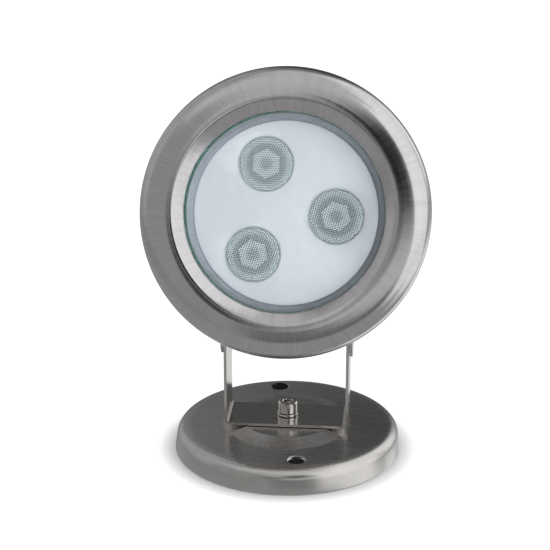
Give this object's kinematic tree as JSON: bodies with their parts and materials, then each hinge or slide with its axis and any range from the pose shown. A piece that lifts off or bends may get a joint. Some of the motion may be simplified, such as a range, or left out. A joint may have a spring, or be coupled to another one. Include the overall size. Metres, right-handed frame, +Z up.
{
  "type": "underwater pool light",
  "caption": "Round stainless spotlight with clear lenses behind thick glass, tilting on a strip U-bracket that turns on a domed screw-down base.",
  "frame": {"origin": "the base's axis at the plane that the base stands on", "axes": "+Z up, the swivel axis; +X along the tilt pivots, to the right of someone facing the lamp; the lamp looks towards -Y"},
  "size_m": [0.1216, 0.1, 0.1731],
  "materials": {
    "brushed_stainless": "brushed",
    "bolt_steel": "plain",
    "tempered_glass": "clear, green at the edge",
    "lens_acrylic": "clear with a field of fine lenslets",
    "black_rubber": "matte",
    "pale_silicone": "translucent, satin",
    "white_plastic": "moulded, satin",
    "satin_plate": "satin, pale",
    "black_plastic": "matte",
    "bare_aluminium": "plain",
    "brass": "plain",
    "board_green": "solder mask",
    "led_phosphor": "satin",
    "coil_ferrite": "matte",
    "capacitor_sleeve": "satin",
    "wire_red": "satin",
    "wire_black": "satin"
  },
  "bodies": {
    "base": {"base_cover": "brushed_stainless"},
    "bracket": {"u_bracket": "brushed_stainless", "swivel_screw": "bolt_steel", "swivel_lock_washer": "bolt_steel", "swivel_flat_washer": "bolt_steel", "swivel_nut": "bolt_steel", "pivot_screw_left": "bolt_steel", "pivot_screw_right": "bolt_steel", "pivot_washer_left": "bolt_steel", "pivot_washer_right": "bolt_steel", "pivot_nut_left": "bolt_steel", "pivot_nut_right": "bolt_steel"},
    "lamp_head": {"ear_left": "brushed_stainless", "ear_right": "brushed_stainless", "front_ring": "brushed_stainless", "front_glass": "tempered_glass", "glass_gasket": "pale_silicone", "lamp_can": "brushed_stainless", "ring_stud_1": "bolt_steel", "ring_stud_2": "bolt_steel", "ring_stud_3": "bolt_steel", "ring_screw_1": "bolt_steel", "ring_screw_2": "bolt_steel", "ring_screw_3": "bolt_steel", "baffle_plate": "satin_plate", "lens_1": "lens_acrylic", "lens_2": "lens_acrylic", "lens_3": "lens_acrylic", "lens_holder_1": "white_plastic", "lens_holder_2": "white_plastic", "lens_holder_3": "white_plastic", "led_1": "led_phosphor", "led_2": "led_phosphor", "led_3": "led_phosphor", "star_board_1": "bare_aluminium", "star_board_2": "bare_aluminium", "star_board_3": "bare_aluminium", "heat_plate": "bare_aluminium", "driver_board": "board_green", "driver_spacer_1": "brass", "driver_spacer_2": "brass", "driver_spacer_3": "brass", "driver_spacer_4": "brass", "driver_inductor": "coil_ferrite", "driver_capacitor": "capacitor_sleeve", "driver_rectifier": "black_plastic", "led_lead_positive": "wire_red", "led_lead_negative": "wire_black", "led_link_1_2": "wire_red", "led_link_2_3": "wire_red", "gland_body": "bolt_steel", "gland_o_ring": "black_rubber", "gland_lock_nut": "bolt_steel", "gland_seal": "black_rubber", "gland_nut": "bolt_steel"}
  },
  "joints": [
    {"name": "swivel", "type": "hinge", "parent": "base", "child": "bracket", "pos_m": [0, 0, 0.0132], "axis": [0, 0, 1], "continuous": true},
    {"name": "tilt", "type": "hinge", "parent": "bracket", "child": "lamp_head", "pos_m": [0, 0, 0.058], "axis": [-1, 0, 0], "range_deg": [-55, 70]}
  ]
}
